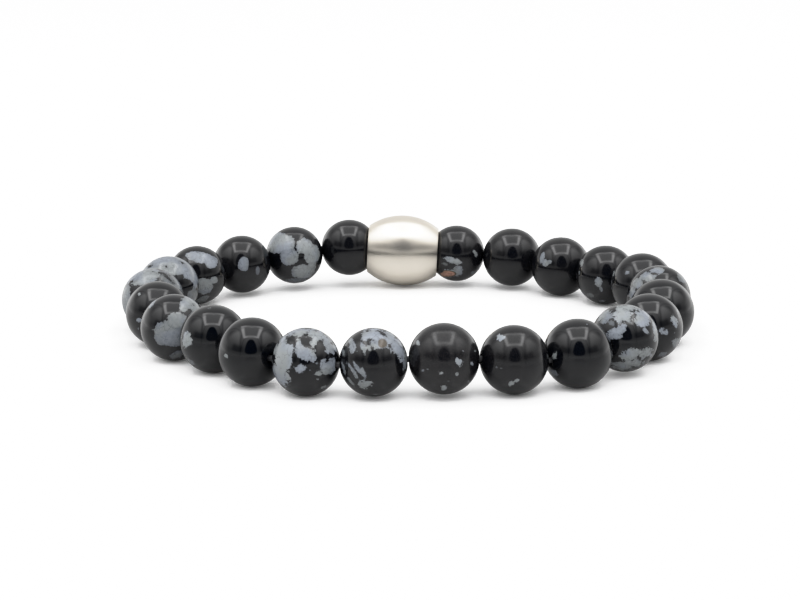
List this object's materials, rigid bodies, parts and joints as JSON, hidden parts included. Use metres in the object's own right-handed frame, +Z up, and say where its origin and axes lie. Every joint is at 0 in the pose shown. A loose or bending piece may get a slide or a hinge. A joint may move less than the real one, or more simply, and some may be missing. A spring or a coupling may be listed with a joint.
{
  "type": "beaded stretch bracelet of snowflake obsidian",
  "caption": "Ring of round polished snowflake obsidian beads with a satin steel barrel bead, strung on an elastic cord that is knotted inside the barrel.",
  "frame": {"origin": "on the table top, under the middle of the bracelet's outer size", "axes": "+X across the bracelet, its longest extent, to the right as seen from the front; +Y towards the steel barrel bead at the back; +Z up, out of the ring"},
  "size_m": [0.0728, 0.0684, 0.01],
  "materials": {
    "snowflake_obsidian": "polished",
    "satin_steel": "satin",
    "elastic": "satin"
  },
  "bodies": {
    "root": {"obsidian_bead_01": "snowflake_obsidian", "obsidian_bead_02": "snowflake_obsidian", "obsidian_bead_03": "snowflake_obsidian", "obsidian_bead_04": "snowflake_obsidian", "obsidian_bead_05": "snowflake_obsidian", "obsidian_bead_06": "snowflake_obsidian", "obsidian_bead_07": "snowflake_obsidian", "obsidian_bead_08": "snowflake_obsidian", "obsidian_bead_09": "snowflake_obsidian", "obsidian_bead_10": "snowflake_obsidian", "obsidian_bead_11": "snowflake_obsidian", "obsidian_bead_12": "snowflake_obsidian", "obsidian_bead_13": "snowflake_obsidian", "obsidian_bead_14": "snowflake_obsidian", "obsidian_bead_15": "snowflake_obsidian", "obsidian_bead_16": "snowflake_obsidian", "obsidian_bead_17": "snowflake_obsidian", "obsidian_bead_18": "snowflake_obsidian", "obsidian_bead_19": "snowflake_obsidian", "obsidian_bead_20": "snowflake_obsidian", "obsidian_bead_21": "snowflake_obsidian", "obsidian_bead_22": "snowflake_obsidian", "obsidian_bead_23": "snowflake_obsidian", "obsidian_bead_24": "snowflake_obsidian", "steel_barrel_bead": "satin_steel", "elastic_cord": "elastic"}
  },
  "joints": []
}
